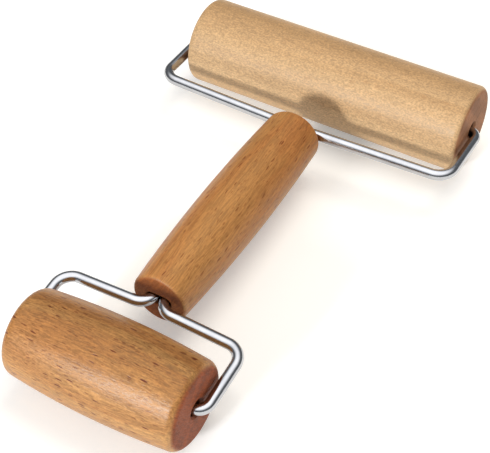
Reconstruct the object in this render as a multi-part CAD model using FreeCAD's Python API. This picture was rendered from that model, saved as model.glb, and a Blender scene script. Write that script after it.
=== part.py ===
import FreeCAD, Part
import math
import os

# Double-ended wooden pastry roller: a turned handle with a wide plain roller at one end and a
# short crowned roller at the other. Each roller turns on a bent steel wire whose two legs are
# glued side by side into the end of the handle. The frames are bent by hand, so the handle sits a
# little to one side of the wide roller's middle, the crowned roller a little further, and the
# handle's axis falls slightly towards the wide roller.
# Frame: X along the roller axes, Y along the handle towards the wide roller, Z up, with the
# origin on the worktop under the middle of the whole object. All lengths are millimetres.

# Rollers
WIDE_RADIUS = 16.0
WIDE_LENGTH = 109.6
WIDE_EDGE = 2.2                 # rounding of the wide roller's two rims
BARREL_RADIUS = 16.0            # at the middle of the crown
BARREL_RIM_RADIUS = 14.4        # where the crown would meet the end faces
BARREL_LENGTH = 61.4
BARREL_EDGE = 3.0
AXIS_SPACING = 151.0            # between the two roller axes

BARREL_MIDDLE_X = 1.3

# Handle
HANDLE_LENGTH = 90.0
HANDLE_RADIUS = 11.4            # at the middle of the swell
WIDE_END_RADIUS = 10.2          # where the swell would meet the end faces
BARREL_END_RADIUS = 9.6
WIDE_END_EDGE = 2.0
BARREL_END_EDGE = 1.3
HANDLE_MIDDLE_X = 0.8
HANDLE_MIDDLE_Y = -2.1
HANDLE_MIDDLE_Z = 17.5
HANDLE_FALL = 1.1               # how much lower the axis is at the wide roller's end

# Wire frames
WIRE_RADIUS = 1.9
AXLE_DROP = 0.5                 # how far the wire lies below the roller's axis in its bore
AXLE_BEND = 3.8                 # bend radii are to the wire's centre line
LEG_OFFSET = 2.05               # from the handle's axis to each leg's centre line
LEG_DEPTH = 24.0                # how far each leg reaches into the handle
WIDE_ARM_X = 57.35
WIDE_ARM_LENGTH = 28.0          # from the roller's axis to the bar's outer ends
WIDE_BAR_SLOPE = 1.9            # how far the bar's halves lean towards the handle
WIDE_BAR_BEND = 6.1
WIDE_LEG_BEND = 4.1
NARROW_ARM_X = 33.15
NARROW_ARM_LENGTH = 23.9
NARROW_BAR_SLOPE = 1.1
NARROW_BAR_BEND = 5.9
NARROW_LEG_BEND = 5.2

# Bores and slots
ROLLER_BORE_RADIUS = 2.9
ROLLER_BORE_CHAMFER = 0.8
SLOT_WIDTH = 9.2                # round-ended slot in each end of the handle, for the two legs
SLOT_HEIGHT = 4.5
SLOT_DEPTH = 26.0
GLUE_RECESS = 3.0               # depth below the handle's end face at which the glue begins

# Places that follow from the sizes above
TOTAL_LENGTH = WIDE_RADIUS + AXIS_SPACING + BARREL_RADIUS
WIDE_AXIS_Y = TOTAL_LENGTH / 2 - WIDE_RADIUS
BARREL_AXIS_Y = BARREL_RADIUS - TOTAL_LENGTH / 2
WIDE_END_Y = HANDLE_MIDDLE_Y + HANDLE_LENGTH / 2
BARREL_END_Y = HANDLE_MIDDLE_Y - HANDLE_LENGTH / 2
HANDLE_TILT = math.asin(HANDLE_FALL / HANDLE_LENGTH)


def vec(x, y, z):
    return FreeCAD.Vector(x, y, z)


def line(start, end):
    return Part.LineSegment(start, end).toShape()


def arc(start, through, end):
    return Part.Arc(start, through, end).toShape()


def rim(solid, x):
    """The circular edge of a turned solid in the plane at x."""
    for edge in solid.Edges:
        flat = edge.BoundBox.XLength < 0.01
        if flat and abs(edge.BoundBox.XMin - x) < 0.01:
            return edge


def turned_solid(length, radii, edges):
    """Piece turned about the X axis through radii at its start, middle and end, rims rounded."""
    half = length / 2
    start, middle, end = radii
    if start == middle == end:
        side = line(vec(-half, start, 0), vec(half, end, 0))
    else:
        side = arc(vec(-half, start, 0), vec(0, middle, 0), vec(half, end, 0))
    outline = Part.Wire([
        line(vec(-half, 0, 0), vec(-half, start, 0)),
        side,
        line(vec(half, end, 0), vec(half, 0, 0)),
        line(vec(half, 0, 0), vec(-half, 0, 0)),
    ])
    solid = Part.Face(outline).revolve(vec(0, 0, 0), vec(1, 0, 0), 360)
    for x, edge in zip((-half, half), edges):
        solid = solid.makeFillet(edge, [rim(solid, x)])
    return solid


def mouth(face_x, outward):
    """Cone that breaks the edge of a roller's bore where it meets an end face at face_x."""
    inner = face_x - outward * ROLLER_BORE_CHAMFER
    wide = ROLLER_BORE_RADIUS + 2 * ROLLER_BORE_CHAMFER
    height = 2 * ROLLER_BORE_CHAMFER
    return Part.makeCone(ROLLER_BORE_RADIUS, wide, height, vec(inner, 0, 0), vec(outward, 0, 0))


def drilled_roller(length, rim_radius, radius, edge):
    """Turned roller along X with its through bore, both mouths chamfered."""
    solid = turned_solid(length, (rim_radius, radius, rim_radius), (edge, edge))
    bore = Part.makeCylinder(ROLLER_BORE_RADIUS, length + 2, vec(-length / 2 - 1, 0, 0), vec(1, 0, 0))
    solid = solid.cut(bore)
    for outward in (-1, 1):
        solid = solid.cut(mouth(outward * length / 2, outward))
    return solid


def wide_roller():
    solid = drilled_roller(WIDE_LENGTH, WIDE_RADIUS, WIDE_RADIUS, WIDE_EDGE)
    solid.translate(vec(0, WIDE_AXIS_Y, WIDE_RADIUS))
    return solid


def barrel_roller():
    solid = drilled_roller(BARREL_LENGTH, BARREL_RIM_RADIUS, BARREL_RADIUS, BARREL_EDGE)
    solid.translate(vec(BARREL_MIDDLE_X, BARREL_AXIS_Y, BARREL_RADIUS))
    return solid


def handle_slot(inward, start, end):
    """Round-ended slot along X about the origin, between two depths below an end of the handle.

    inward is the direction along X into the wood.
    """
    x = inward * (start - HANDLE_LENGTH / 2)
    radius = SLOT_HEIGHT / 2
    half = SLOT_WIDTH / 2 - radius
    outline = Part.Wire([
        line(vec(x, -half, radius), vec(x, half, radius)),
        arc(vec(x, half, radius), vec(x, half + radius, 0), vec(x, half, -radius)),
        line(vec(x, half, -radius), vec(x, -half, -radius)),
        arc(vec(x, -half, -radius), vec(x, -half - radius, 0), vec(x, -half, radius)),
    ])
    return Part.Face(outline).extrude(vec(inward * (end - start), 0, 0))


def place_on_handle_axis(shape):
    """Turn a shape made along X so that it lies along the handle, with +X towards +Y."""
    shape.rotate(vec(0, 0, 0), vec(0, 0, 1), 90)
    shape.rotate(vec(0, 0, 0), vec(1, 0, 0), -math.degrees(HANDLE_TILT))
    shape.translate(vec(HANDLE_MIDDLE_X, HANDLE_MIDDLE_Y, HANDLE_MIDDLE_Z))
    return shape


def beside_handle_axis(offset, y):
    """Point at y beside the handle's axis, level with it."""
    z = HANDLE_MIDDLE_Z - (y - HANDLE_MIDDLE_Y) * math.tan(HANDLE_TILT)
    return vec(HANDLE_MIDDLE_X + offset, y, z)


def handle():
    radii = (BARREL_END_RADIUS, HANDLE_RADIUS, WIDE_END_RADIUS)
    solid = turned_solid(HANDLE_LENGTH, radii, (BARREL_END_EDGE, WIDE_END_EDGE))
    for inward in (-1, 1):
        solid = solid.cut(handle_slot(inward, -1, SLOT_DEPTH))
    return place_on_handle_axis(solid)


def rounded_path(points, radii):
    """Wire of straight runs through points, joined by tangent arcs of the given radii."""
    edges = []
    start = points[0]
    for before, corner, after, radius in zip(points, points[1:], points[2:], radii):
        back = (before - corner).normalize()
        ahead = (after - corner).normalize()
        half_angle = back.getAngle(ahead) / 2
        setback = radius / math.tan(half_angle)
        inward = (back + ahead).normalize()
        centre = corner + inward * (radius / math.sin(half_angle))
        first = corner + back * setback
        last = corner + ahead * setback
        edges.append(line(start, first))
        edges.append(arc(first, centre - inward * radius, last))
        start = last
    edges.append(line(start, points[-1]))
    return Part.Wire(edges)


def wire_frame(middle, towards_handle, end_y, arm_x, arm_length, slope, bends):
    """One bent wire: leg, bar, arm, axle through the roller, arm, bar and leg again.

    middle is the axle's middle point, and end_y the end of the handle that holds the legs.
    """
    bar_y = middle.y + towards_handle * arm_length
    leg_bend_y = bar_y + towards_handle * slope
    leg_y = end_y + towards_handle * LEG_DEPTH
    sides = []
    for side in (-1, 1):
        leg_end = beside_handle_axis(side * LEG_OFFSET, leg_y)
        leg_bend = beside_handle_axis(side * LEG_OFFSET, leg_bend_y)
        corner = vec(middle.x + side * arm_x, bar_y, leg_bend.z)
        axle_bend = middle + vec(side * arm_x, 0, 0)
        sides.append([leg_end, leg_bend, corner, axle_bend])
    first, second = sides
    path = rounded_path(first + second[::-1], bends + bends[::-1])
    section = Part.Wire(Part.makeCircle(WIRE_RADIUS, first[0], first[1] - first[0]))
    return path.makePipeShell([section], True, False), path


def wide_frame():
    middle = vec(0, WIDE_AXIS_Y, WIDE_RADIUS - AXLE_DROP)
    bends = [WIDE_LEG_BEND, WIDE_BAR_BEND, AXLE_BEND]
    return wire_frame(middle, -1, WIDE_END_Y, WIDE_ARM_X, WIDE_ARM_LENGTH, WIDE_BAR_SLOPE, bends)


def narrow_frame():
    middle = vec(BARREL_MIDDLE_X, BARREL_AXIS_Y, BARREL_RADIUS - AXLE_DROP)
    bends = [NARROW_LEG_BEND, NARROW_BAR_BEND, AXLE_BEND]
    return wire_frame(middle, 1, BARREL_END_Y, NARROW_ARM_X, NARROW_ARM_LENGTH, NARROW_BAR_SLOPE, bends)


def glue_plug(inward, frame):
    """Set adhesive that fills the deep part of one slot around the two legs."""
    plug = handle_slot(inward, GLUE_RECESS, SLOT_DEPTH)
    return place_on_handle_axis(plug).cut(frame)


wide_wire, wide_path = wide_frame()
narrow_wire, narrow_path = narrow_frame()
for name, wire, path in (("wide", wide_wire, wide_path), ("narrow", narrow_wire, narrow_path)):
    swept = math.pi * WIRE_RADIUS ** 2 * path.Length
    print(name, "wire length", round(path.Length, 1), "volume ratio", round(wire.Volume / swept, 4))

parts = {
    "handle": handle(),
    "wide_frame": wide_wire,
    "narrow_frame": narrow_wire,
    "wide_roller": wide_roller(),
    "barrel_roller": barrel_roller(),
    "wide_end_glue": glue_plug(-1, wide_wire),
    "barrel_end_glue": glue_plug(1, narrow_wire),
}

os.makedirs("parts", exist_ok=True)
for name, shape in parts.items():
    print(name, shape.ShapeType, len(shape.Solids), "valid", shape.isValid(), round(shape.Volume, 1))
    shape.exportStep("parts/" + name + ".step")
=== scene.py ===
import math

import bpy
from mathutils import Matrix, Vector


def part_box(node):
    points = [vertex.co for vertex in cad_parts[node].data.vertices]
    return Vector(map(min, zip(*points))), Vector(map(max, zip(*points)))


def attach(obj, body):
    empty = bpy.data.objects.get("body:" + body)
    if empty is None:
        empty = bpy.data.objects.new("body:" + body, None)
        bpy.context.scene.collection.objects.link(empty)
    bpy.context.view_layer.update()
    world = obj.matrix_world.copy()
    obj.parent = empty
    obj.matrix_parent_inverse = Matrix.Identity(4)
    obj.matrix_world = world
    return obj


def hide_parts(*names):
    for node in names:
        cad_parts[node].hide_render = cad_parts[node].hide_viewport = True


# Double-ended wooden pastry roller: looks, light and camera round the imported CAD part.
# Metres, in the CAD frame: X along the roller axes, Y along the handle towards the wide
# roller, Z up from the worktop.

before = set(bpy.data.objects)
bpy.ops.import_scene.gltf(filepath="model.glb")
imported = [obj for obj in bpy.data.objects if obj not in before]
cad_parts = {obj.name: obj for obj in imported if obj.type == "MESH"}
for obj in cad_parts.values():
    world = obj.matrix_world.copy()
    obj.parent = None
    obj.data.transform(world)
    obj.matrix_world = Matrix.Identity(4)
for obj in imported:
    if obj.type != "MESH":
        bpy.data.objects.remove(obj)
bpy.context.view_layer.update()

# Rollers
ROLLER_RADIUS = 0.0160
ROLLER_BORE = 0.0029
ROLLER_CHAMFER = 0.0008
WIDE_EDGE = 0.0022
BARREL_RIM_RADIUS = 0.0144
BARREL_EDGE = 0.0030

# Handle
HANDLE_LENGTH = 0.0900
HANDLE_RADIUS = 0.0114
HANDLE_WIDE_END = (0.0102, 0.0020)      # radius and rounding
HANDLE_BARREL_END = (0.0096, 0.0013)
HANDLE_MIDDLE = Vector((0.0008, -0.0021, 0.0175))
HANDLE_FALL = 0.0011
SLOT_HALF_WIDTH = 0.0046                # the round-ended slot for a frame's legs
SLOT_HALF_HEIGHT = 0.00225
SLOT_DEPTH = 0.0260
SLOT_EDGE = 0.0002

# Turned meshes
AROUND = 144            # vertices round a piece
SIDE_STEPS = 48         # along its side
EDGE_STEPS = 8          # over each rounded rim
FACE_STEPS = 6          # across each end face
SHARP_ANGLE = 32.0      # degrees between faces from which an edge is shaded as sharp

# Values of a turned mesh's "end_grain" attribute, which is 0 on the side
END_FACE = 1.0
# Above END_FACE the values mark the mouths and insides of slots and bores, where the wood's colour
# is darkened as painted shade
SLOT_MOUTH = 1.3
BORE_MOUTH = 1.4
IN_BORE = 2.0

# Light
FLOOR_HALF = 3.0
LIGHT_TARGET = Vector((0, 0, 0.015))
DIFFUSE_SURROUND = (0.49, 0.445, 0.395, 1)
CAMERA_SURROUND = (1.0, 1.0, 1.0, 1)
CANOPY_MIDDLE = (0.0, -0.15, 0.99)      # direction of the canopy's middle
CANOPY_EDGE = 0.46                      # cosine of the angle at which it has faded out
CANOPY_FULL = 0.94                      # and at which it is fully bright
CANOPY_DIM = (0.16, 0.17, 0.18, 1)
CANOPY_BRIGHT = (1.95, 1.95, 1.97, 1)

# Camera, fitted to the photograph's outlines
FOCAL_LENGTH = 94.59
SENSOR_WIDTH = 36.0
CAMERA_TARGET = Vector((0.00475, 0.00029, 0.010))
CAMERA_DISTANCE = 0.4356
CAMERA_AZIMUTH = 30.65
CAMERA_ELEVATION = 46.32
CAMERA_ROLL = -1.21


# ---------------------------------------------------------------- turned meshes

def side_curve(length, radii):
    """Circle through a piece's radii at its start, middle and end: (centre x, centre r, radius)."""
    start, middle, end = radii
    half = length / 2
    # Squared distances from the origin of (-half, start), (0, middle) and (half, end)
    start_square = half ** 2 + start ** 2
    middle_square = middle ** 2
    end_square = half ** 2 + end ** 2
    scale = 2 * half * (start - 2 * middle + end)
    x = (start_square * (middle - end) + middle_square * (end - start)
         + end_square * (start - middle)) / scale
    r = half * (start_square - 2 * middle_square + end_square) / scale
    return x, r, math.hypot(half + x, start - r)


def rounded_rim(x, r, radius, first, last):
    """(x, r, share) points over a rim's rounding, between two angles from the r direction."""
    points = []
    for i in range(EDGE_STEPS + 1):
        share = i / EDGE_STEPS
        angle = first + share * (last - first)
        points.append((x + radius * math.sin(angle), r + radius * math.cos(angle), share))
    return points


def outer_profile(length, radii, edges):
    """(x, r, end) points along the outside of a turned piece, from one end face to the other.

    end is the end_grain value, which falls from END_FACE to 0 over the rounding of a rim.
    """
    half = length / 2
    straight = radii[0] == radii[1] == radii[2]
    if not straight:
        curve_x, curve_r, curve = side_curve(length, radii)

    # Centre of each rim's rounding, and the angle at which it meets the side
    corners = []
    for sign, edge in zip((-1, 1), edges):
        x = sign * (half - edge)
        if straight:
            corners.append((x, radii[1] - edge, 0.0))
        else:
            r = curve_r + math.sqrt((curve - edge) ** 2 - (x - curve_x) ** 2)
            corners.append((x, r, math.atan2(x - curve_x, r - curve_r)))

    x, r, lean = corners[0]
    first_rim = rounded_rim(x, r, edges[0], -math.pi / 2, lean)
    x, r, lean = corners[1]
    last_rim = rounded_rim(x, r, edges[1], lean, math.pi / 2)
    start_x, end_x = first_rim[-1][0], last_rim[0][0]
    side = []
    for i in range(1, SIDE_STEPS):
        x = start_x + (end_x - start_x) * i / SIDE_STEPS
        r = radii[1] if straight else curve_r + math.sqrt(curve ** 2 - (x - curve_x) ** 2)
        side.append((x, r, 0.0))
    first_rim = [(x, r, END_FACE * (1 - share)) for x, r, share in first_rim]
    last_rim = [(x, r, END_FACE * share) for x, r, share in last_rim]
    return first_rim + side + last_rim


def roller_profile(length, radii, edge):
    """Closed outline of a roller with a through bore and chamfered mouths."""
    half = length / 2
    outer = outer_profile(length, radii, (edge, edge))
    rim = outer[-1][1]
    mouth = ROLLER_BORE + ROLLER_CHAMFER
    end = []
    for i in range(1, FACE_STEPS + 1):
        end.append((half, rim + (mouth - rim) * i / FACE_STEPS, END_FACE))
    end.append((half - ROLLER_CHAMFER, ROLLER_BORE, BORE_MOUTH))
    end.append((half - ROLLER_BORE, ROLLER_BORE, IN_BORE))
    start = [(-x, r, value) for x, r, value in reversed(end)]
    return start + outer + end


def slot_radius(angle):
    """Distance from the handle's axis to the outline of its slot."""
    across, upward = abs(math.cos(angle)), abs(math.sin(angle))
    middle = SLOT_HALF_WIDTH - SLOT_HALF_HEIGHT
    if SLOT_HALF_HEIGHT * across <= middle * upward:
        return SLOT_HALF_HEIGHT / upward
    return middle * across + math.sqrt(SLOT_HALF_HEIGHT ** 2 - (middle * upward) ** 2)


def between_rim_and_slot(rim, share):
    """r as a function of the angle, a share of the way across the handle's end face."""
    return lambda angle: rim + (slot_radius(angle) + SLOT_EDGE - rim) * share


def handle_profile():
    """Open outline of the handle, from the bottom of one slot to that of the other.

    In and round the slots, where the handle is not round, r is a function of the angle.
    """
    half = HANDLE_LENGTH / 2
    radii = (HANDLE_BARREL_END[0], HANDLE_RADIUS, HANDLE_WIDE_END[0])
    edges = (HANDLE_BARREL_END[1], HANDLE_WIDE_END[1])
    outer = outer_profile(HANDLE_LENGTH, radii, edges)
    ends = []
    for rim in (outer[0][1], outer[-1][1]):
        end = []
        for i in range(1, FACE_STEPS + 1):
            end.append((half, between_rim_and_slot(rim, i / FACE_STEPS), END_FACE))
        end.append((half - SLOT_EDGE, slot_radius, SLOT_MOUTH))
        end.append((half - SLOT_HALF_HEIGHT, slot_radius, IN_BORE))
        end.append((half - SLOT_DEPTH, slot_radius, IN_BORE))
        ends.append(end)
    start = [(-x, r, value) for x, r, value in reversed(ends[0])]
    return start + outer + ends[1]


def turned_piece(name, profile, closed, placing):
    """Mesh object made by turning a profile about X, then placed by a matrix."""
    verts, faces, ends = [], [], []
    for x, r, end in profile:
        for k in range(AROUND):
            angle = 2 * math.pi * k / AROUND
            radius = r(angle) if callable(r) else r
            point = Vector((x, radius * math.cos(angle), radius * math.sin(angle)))
            verts.append(placing @ point)
            ends.append(end)
    rows = len(profile)
    for i in range(rows if closed else rows - 1):
        j = (i + 1) % rows
        for k in range(AROUND):
            m = (k + 1) % AROUND
            faces.append((i * AROUND + k, i * AROUND + m, j * AROUND + m, j * AROUND + k))
    if not closed:
        faces.append([AROUND - 1 - k for k in range(AROUND)])
        faces.append([(rows - 1) * AROUND + k for k in range(AROUND)])
    mesh = bpy.data.meshes.new(name)
    mesh.from_pydata(verts, [], faces)
    mesh.validate()
    layer = mesh.attributes.new("end_grain", "FLOAT", "POINT")
    layer.data.foreach_set("value", ends)
    mesh.shade_smooth()
    mesh.set_sharp_from_angle(angle=math.radians(SHARP_ANGLE))
    mesh.update()
    obj = bpy.data.objects.new(name, mesh)
    bpy.context.scene.collection.objects.link(obj)
    return obj


# ---------------------------------------------------------------- node helpers

class Nodes:
    """Short calls that add shader nodes to the tree of a material or a world."""

    def __init__(self, owner):
        owner.use_nodes = True
        self.tree = owner.node_tree
        self.tree.nodes.clear()

    def feed(self, socket, value):
        """Link a socket to another node's output, or set it to a constant."""
        if isinstance(value, bpy.types.NodeSocket):
            self.tree.links.new(value, socket)
        else:
            socket.default_value = value

    def add(self, kind, inputs=None, **settings):
        node = self.tree.nodes.new(kind)
        for key, value in settings.items():
            setattr(node, key, value)
        for key, value in (inputs or {}).items():
            self.feed(node.inputs[key], value)
        return node

    def place(self):
        """The object's own coordinates, in metres."""
        return self.add("ShaderNodeTexCoord").outputs["Object"]

    def noise(self, vector, detail, roughness=0.5):
        inputs = {"Vector": vector, "Scale": 1.0, "Detail": detail, "Roughness": roughness}
        return self.add("ShaderNodeTexNoise", inputs).outputs["Fac"]

    def stretch(self, vector, scale, location=(0, 0, 0), rotation=(0, 0, 0)):
        inputs = {"Vector": vector, "Scale": scale, "Location": location, "Rotation": rotation}
        return self.add("ShaderNodeMapping", inputs).outputs["Vector"]

    def ramp(self, value, low, high, out_low=0.0, out_high=1.0):
        inputs = {"Value": value, "From Min": low, "From Max": high,
                  "To Min": out_low, "To Max": out_high}
        node = self.add("ShaderNodeMapRange", inputs, clamp=True, interpolation_type="SMOOTHSTEP")
        return node.outputs["Result"]

    def vector_maths(self, operation, a, b):
        return self.add("ShaderNodeVectorMath", {0: a, 1: b}, operation=operation)

    def maths(self, operation, a, b):
        return self.add("ShaderNodeMath", {0: a, 1: b}, operation=operation).outputs["Value"]

    def product(self, first, *others):
        for other in others:
            first = self.maths("MULTIPLY", first, other)
        return first

    def mix(self, factor, a, b, blend="MIX"):
        node = self.add("ShaderNodeMix", data_type="RGBA", blend_type=blend)
        colours = [socket for socket in node.inputs if socket.type == "RGBA"]
        for socket, value in zip([node.inputs["Factor"]] + colours, (factor, a, b)):
            self.feed(socket, value)
        return [socket for socket in node.outputs if socket.type == "RGBA"][0]

    def shaded(self, colour, shade):
        """A colour multiplied by one number."""
        grey = self.add("ShaderNodeCombineColor", {"Red": shade, "Green": shade, "Blue": shade})
        return self.mix(1.0, colour, grey.outputs["Color"], "MULTIPLY")

    def bump(self, height, strength, distance):
        inputs = {"Height": height, "Strength": strength, "Distance": distance}
        return self.add("ShaderNodeBump", inputs).outputs["Normal"]

    def surface(self, colour, roughness, inputs):
        """Principled shader on the material's output, with further inputs."""
        inputs = {"Base Color": colour, "Roughness": roughness, **inputs}
        shader = self.add("ShaderNodeBsdfPrincipled", inputs)
        self.add("ShaderNodeOutputMaterial", {"Surface": shader.outputs["BSDF"]})


def srgb(red, green, blue):
    """Linear RGBA of an 8-bit sRGB colour."""
    out = []
    for c in (red, green, blue):
        c = c / 255
        out.append(c / 12.92 if c <= 0.04045 else ((c + 0.055) / 1.055) ** 2.4)
    return (*out, 1.0)


# ---------------------------------------------------------------- materials
# A noise's scale is in features per metre along each axis.

def ray_dashes(n, grain, scale, offset, reach, share):
    """Dark ends of the rays: flat cells, of which a share hold one dash of some depth."""
    inputs = {"Vector": n.stretch(grain, scale, offset), "Scale": 1.0, "Randomness": 0.9}
    cells = n.add("ShaderNodeTexVoronoi", inputs)
    near = n.ramp(cells.outputs["Distance"], reach * 0.62, reach, 1.0, 0.0)
    picked = n.add("ShaderNodeSeparateColor", {"Color": cells.outputs["Color"]})
    present = n.ramp(picked.outputs["Red"], share, share + 0.02, 1.0, 0.0)
    depth = n.ramp(picked.outputs["Green"], 0.0, 1.0, 0.25, 1.0)
    return n.product(near, present, depth)


def wood(name, colours, grain_turn, seed, run, flecks, speckle, fibre, roughness):
    """Lacquered beech, with the grain along the X of the turned coordinates.

    The rays run along Z, so the sides that face Z show their ends as short dark dashes.
    run is the fibres' scale along the grain; flecks, speckle and fibre are the strengths of
    the dashes, the fine grain and the fibres; roughness is the lacquer's.
    """
    light, dark, fleck, end = colours
    material = bpy.data.materials.new(name)
    n = Nodes(material)
    grain = n.stretch(n.place(), (1, 1, 1), (seed, seed * 0.7, seed * 1.3), grain_turn)

    # Slow waves bend the grain a little
    wave = n.add("ShaderNodeTexNoise", {"Vector": n.stretch(grain, (18, 70, 70)), "Detail": 1.0})
    wave = n.vector_maths("SUBTRACT", wave.outputs["Color"], (0.5, 0.5, 0.5)).outputs["Vector"]
    wave = n.vector_maths("MULTIPLY", wave, (0.0, 0.0016, 0.0016)).outputs["Vector"]
    grain = n.vector_maths("ADD", grain, wave).outputs["Vector"]

    # Growth rings, fibres, slow patches of colour and fine speckle
    rings = n.ramp(n.noise(n.stretch(grain, (7, 60, 300)), 2.0), 0.30, 0.72)
    fibres = n.noise(n.stretch(grain, (run, 2200, 2200)), 1.0)
    streaks = n.noise(n.stretch(grain, (70, 1000, 1000)), 1.0)
    patches = n.noise(n.stretch(grain, (35, 90, 90)), 2.0)
    grains = n.noise(n.stretch(grain, (1300, 2100, 2100)), 1.0)
    large = ray_dashes(n, grain, (230, 1500, 350), (0.0, 0.0, 0.0), reach=0.36, share=0.24)
    small = ray_dashes(n, grain, (420, 2100, 520), (0.4, 0.2, 0.6), reach=0.42, share=0.38)

    # Colour of the sides
    fibre_tone = n.ramp(fibres, 0.36, 0.64, 1 - fibre, 1 + fibre * 0.8)
    streak_tone = n.ramp(streaks, 0.34, 0.66, 1 - fibre * 0.35, 1 + fibre * 0.35)
    patch_tone = n.ramp(patches, 0.25, 0.75, 0.95, 1.05)
    grain_tone = n.ramp(grains, 0.28, 0.72, 1 - speckle, 1 + speckle)
    shade = n.product(fibre_tone, streak_tone, patch_tone, grain_tone)
    side_tone = n.shaded(n.mix(rings, light, dark), shade)
    side_tone = n.mix(n.product(small, flecks * 0.55), side_tone, fleck)
    side_tone = n.mix(n.product(large, flecks), side_tone, fleck)

    # End grain is darker and redder, and the rim between takes a little of both
    region = n.add("ShaderNodeAttribute", attribute_name="end_grain").outputs["Fac"]
    end_mask = n.ramp(region, 0.40, 0.80)
    # Painted shade: inside the bores and slots the colour falls to 0.22 of the end face's, and
    # partly so at their mouths
    painted_bore_shade = n.ramp(region, END_FACE, IN_BORE, 1.0, 0.22)
    end_rings = n.ramp(rings, 0.0, 1.0, 0.80, 1.12)
    end_rays = n.noise(n.stretch(grain, (150, 2200, 330)), 2.0)
    end_rays = n.ramp(end_rays, 0.3, 0.7, 0.78, 1.18)
    end_tone = n.shaded(end, n.product(end_rings, end_rays, painted_bore_shade))

    # Satin lacquer over fine fibres
    relief = n.maths("ADD", n.product(fibres, 0.5), n.product(grains, 0.5))
    uneven = n.ramp(relief, 0.35, 0.65, roughness - 0.08, roughness + 0.10)
    uneven = n.maths("ADD", uneven, n.product(end_mask, 0.25))
    height = n.maths("SUBTRACT", relief, n.product(large, 0.3))
    n.surface(n.mix(end_mask, side_tone, end_tone), uneven, {
        "Normal": n.bump(height, strength=0.75, distance=0.00015),
        "Coat Weight": 0.05, "Coat Roughness": 0.35, "Specular IOR Level": 0.30})
    return material


def polished_steel():
    """Bright drawn wire, with faint smudges and draw marks."""
    material = bpy.data.materials.new("polished_wire")
    n = Nodes(material)
    place = n.place()
    smudges = n.noise(n.stretch(place, (120, 120, 120)), 3.0, roughness=0.6)
    fine = n.noise(n.stretch(place, (1600, 1600, 1600)), 2.0)
    waves = n.noise(n.stretch(place, (260, 260, 260)), 2.0)
    tone = n.mix(n.ramp(smudges, 0.3, 0.7), srgb(193, 194, 197), srgb(180, 181, 185))
    haze = n.maths("ADD", n.product(smudges, 0.7), n.product(fine, 0.3))
    height = n.maths("ADD", n.product(waves, 0.8), n.product(fine, 0.10))
    n.surface(tone, n.ramp(haze, 0.3, 0.7, 0.10, 0.19), {
        "Metallic": 1.0, "Normal": n.bump(height, strength=0.20, distance=0.0002)})
    return material


def set_glue():
    """Hard amber adhesive, a little lumpy."""
    material = bpy.data.materials.new("glue")
    n = Nodes(material)
    lumps = n.noise(n.stretch(n.place(), (700, 700, 700)), 3.0)
    tone = n.mix(n.ramp(lumps, 0.3, 0.7), srgb(150, 118, 70), srgb(112, 82, 44))
    n.surface(tone, n.ramp(lumps, 0.3, 0.7, 0.25, 0.45), {
        "Normal": n.bump(lumps, strength=0.5, distance=0.0004)})
    return material


def floor_finish():
    """Matt white floor that glows a little, so that its shadows stay faint."""
    material = bpy.data.materials.new("pale_floor")
    n = Nodes(material)
    speckle = n.noise(n.stretch(n.place(), (25, 25, 25)), 2.0)
    tone = n.mix(speckle, (0.88, 0.92, 0.96, 1), (0.90, 0.94, 0.98, 1))
    n.surface(tone, 0.9, {
        "Specular IOR Level": 0.1,
        "Emission Color": (0.84, 0.93, 1.0, 1.0), "Emission Strength": 0.26})
    return material


# ---------------------------------------------------------------- the object

def swap(obj, node, body, material):
    """Show obj in place of a CAD node, riding on its body."""
    obj.data.materials.append(material)
    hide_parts(node)
    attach(obj, body)


def roller(name, node, radii, edge, material):
    """Show a turned roller in the middle of its CAD node's box and as long as it."""
    lo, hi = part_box(node)
    profile = roller_profile(hi.x - lo.x, radii, edge)
    piece = turned_piece(name, profile, True, Matrix.Translation((lo + hi) / 2))
    swap(piece, node, node, material)


def recolour(nodes, material):
    """Give CAD nodes that stay in view their one material."""
    for node in nodes:
        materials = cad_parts[node].data.materials
        materials.clear()
        materials.append(material)


# Light wood, dark wood, rays and end grain
PALE_BEECH = (srgb(187, 157, 119), srgb(179, 147, 108), srgb(150, 108, 66), srgb(150, 102, 68))
BARREL_BEECH = (srgb(167, 125, 76), srgb(151, 103, 57), srgb(88, 30, 4), srgb(138, 68, 30))
HANDLE_BEECH = (srgb(173, 126, 73), srgb(161, 106, 57), srgb(104, 42, 8), srgb(150, 88, 42))

pale_wood = wood("pale_wood", PALE_BEECH, (math.radians(48), 0.0, 0.0), 0.31,
                 run=360, flecks=0.25, speckle=0.20, fibre=0.08, roughness=0.47)
barrel_wood = wood("barrel_wood", BARREL_BEECH, (math.radians(-42), 0.0, 0.0), 0.12,
                   run=280, flecks=1.0, speckle=0.11, fibre=0.19, roughness=0.36)
handle_wood = wood("handle_wood", HANDLE_BEECH, (0.0, math.radians(-30), math.radians(-90)), 0.57,
                   run=150, flecks=0.75, speckle=0.06, fibre=0.15, roughness=0.42)

roller("wide_roller_wood", "wide_roller", (ROLLER_RADIUS, ROLLER_RADIUS, ROLLER_RADIUS),
       WIDE_EDGE, pale_wood)
roller("barrel_roller_wood", "barrel_roller", (BARREL_RIM_RADIUS, ROLLER_RADIUS, BARREL_RIM_RADIUS),
       BARREL_EDGE, barrel_wood)

handle_tilt = math.asin(HANDLE_FALL / HANDLE_LENGTH)
handle_placing = (Matrix.Translation(HANDLE_MIDDLE) @ Matrix.Rotation(-handle_tilt, 4, "X")
                  @ Matrix.Rotation(math.pi / 2, 4, "Z"))
swap(turned_piece("handle_wood_piece", handle_profile(), False, handle_placing),
     "handle", "handle", handle_wood)

recolour(("wide_frame", "narrow_frame"), polished_steel())
recolour(("wide_end_glue", "barrel_end_glue"), set_glue())


# ---------------------------------------------------------------- floor, light and camera

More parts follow.
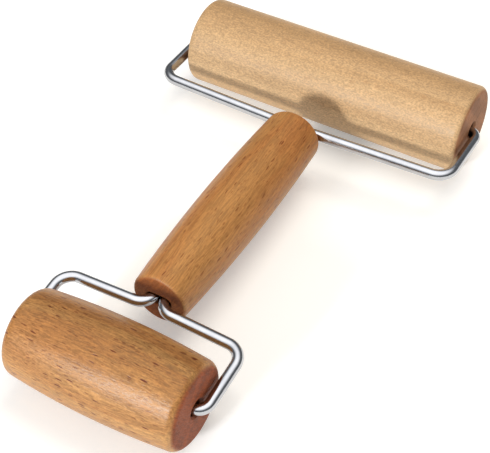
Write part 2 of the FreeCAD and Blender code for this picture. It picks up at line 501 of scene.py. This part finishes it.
def lay_floor():
    mesh = bpy.data.meshes.new("floor")
    corners = [(-FLOOR_HALF, -FLOOR_HALF, 0), (FLOOR_HALF, -FLOOR_HALF, 0),
               (FLOOR_HALF, FLOOR_HALF, 0), (-FLOOR_HALF, FLOOR_HALF, 0)]
    mesh.from_pydata(corners, [], [(0, 1, 2, 3)])
    mesh.materials.append(floor_finish())
    obj = bpy.data.objects.new("floor", mesh)
    bpy.context.scene.collection.objects.link(obj)
    return obj


def direction_to(azimuth, elevation):
    """Unit vector from the object, in degrees: azimuth 0 is -Y and 90 is +X."""
    a, e = math.radians(azimuth), math.radians(elevation)
    return Vector((math.sin(a) * math.cos(e), -math.cos(a) * math.cos(e), math.sin(e)))


def soft_box(name, azimuth, elevation, distance, width, height, power, colour):
    """Area light that faces the object."""
    back = direction_to(azimuth, elevation)
    lamp = bpy.data.lights.new(name, "AREA")
    lamp.shape = "RECTANGLE"
    lamp.size = width
    lamp.size_y = height
    lamp.energy = power
    lamp.color = colour
    obj = bpy.data.objects.new(name, lamp)
    obj.location = LIGHT_TARGET + back * distance
    obj.rotation_mode = "QUATERNION"
    obj.rotation_quaternion = (-back).to_track_quat("-Z", "Y")
    bpy.context.scene.collection.objects.link(obj)
    return obj


def surroundings():
    """White behind the object, and even light from all round it on what isn't glossy.

    Reflections see a bright canopy over the object, which fades to dim surroundings.
    """
    world = bpy.data.worlds.new("studio")
    n = Nodes(world)
    path = n.add("ShaderNodeLightPath")
    direction = n.add("ShaderNodeTexCoord").outputs["Generated"]
    height = n.vector_maths("DOT_PRODUCT", direction, CANOPY_MIDDLE).outputs["Value"]
    canopy = n.mix(n.ramp(height, CANOPY_EDGE, CANOPY_FULL), CANOPY_DIM, CANOPY_BRIGHT)
    colour = n.mix(path.outputs["Is Glossy Ray"], DIFFUSE_SURROUND, canopy)
    colour = n.mix(path.outputs["Is Camera Ray"], colour, CAMERA_SURROUND)
    surround = n.add("ShaderNodeBackground", {"Color": colour, "Strength": 1.0})
    n.add("ShaderNodeOutputWorld", {"Surface": surround.outputs["Background"]})
    return world


def aimed_camera():
    back = direction_to(CAMERA_AZIMUTH, CAMERA_ELEVATION)
    azimuth, roll = math.radians(CAMERA_AZIMUTH), math.radians(CAMERA_ROLL)
    level = Vector((math.cos(azimuth), math.sin(azimuth), 0.0))
    upward = back.cross(level)
    right = math.cos(roll) * level + math.sin(roll) * upward
    up = -math.sin(roll) * level + math.cos(roll) * upward
    lens = bpy.data.cameras.new("camera")
    lens.lens = FOCAL_LENGTH
    lens.sensor_width = SENSOR_WIDTH
    obj = bpy.data.objects.new("camera", lens)
    obj.rotation_mode = "QUATERNION"
    obj.rotation_quaternion = Matrix((right, up, back)).transposed().to_quaternion()
    obj.location = CAMERA_TARGET + back * CAMERA_DISTANCE
    bpy.context.scene.collection.objects.link(obj)
    return obj


floor = lay_floor()

# The key light throws the handle's shadow on the wide roller
key = soft_box("key", azimuth=-8, elevation=16, distance=1.0, width=0.16, height=0.14,
               power=8.6, colour=(1.0, 0.98, 0.95))
key.visible_glossy = False

# The gloss light is seen only as a sheen on the lacquered wood: in the wires its edge would
# show as a hard line
gloss = soft_box("gloss", azimuth=-9, elevation=22, distance=1.0, width=0.60, height=0.36,
                 power=14.0, colour=(1.0, 0.95, 0.88))
gloss.visible_diffuse = False
lacquered = bpy.data.collections.new("lacquered")
for piece_name in ("wide_roller_wood", "barrel_roller_wood", "handle_wood_piece"):
    lacquered.objects.link(bpy.data.objects[piece_name])
gloss.light_linking.receiver_collection = lacquered

top = soft_box("top", azimuth=160, elevation=68, distance=0.8, width=0.5, height=0.5,
               power=3.8, colour=(1.0, 0.88, 0.74))
top.visible_glossy = False

bpy.context.scene.world = surroundings()
bpy.context.scene.view_settings.view_transform = "Standard"
bpy.context.scene.camera = aimed_camera()
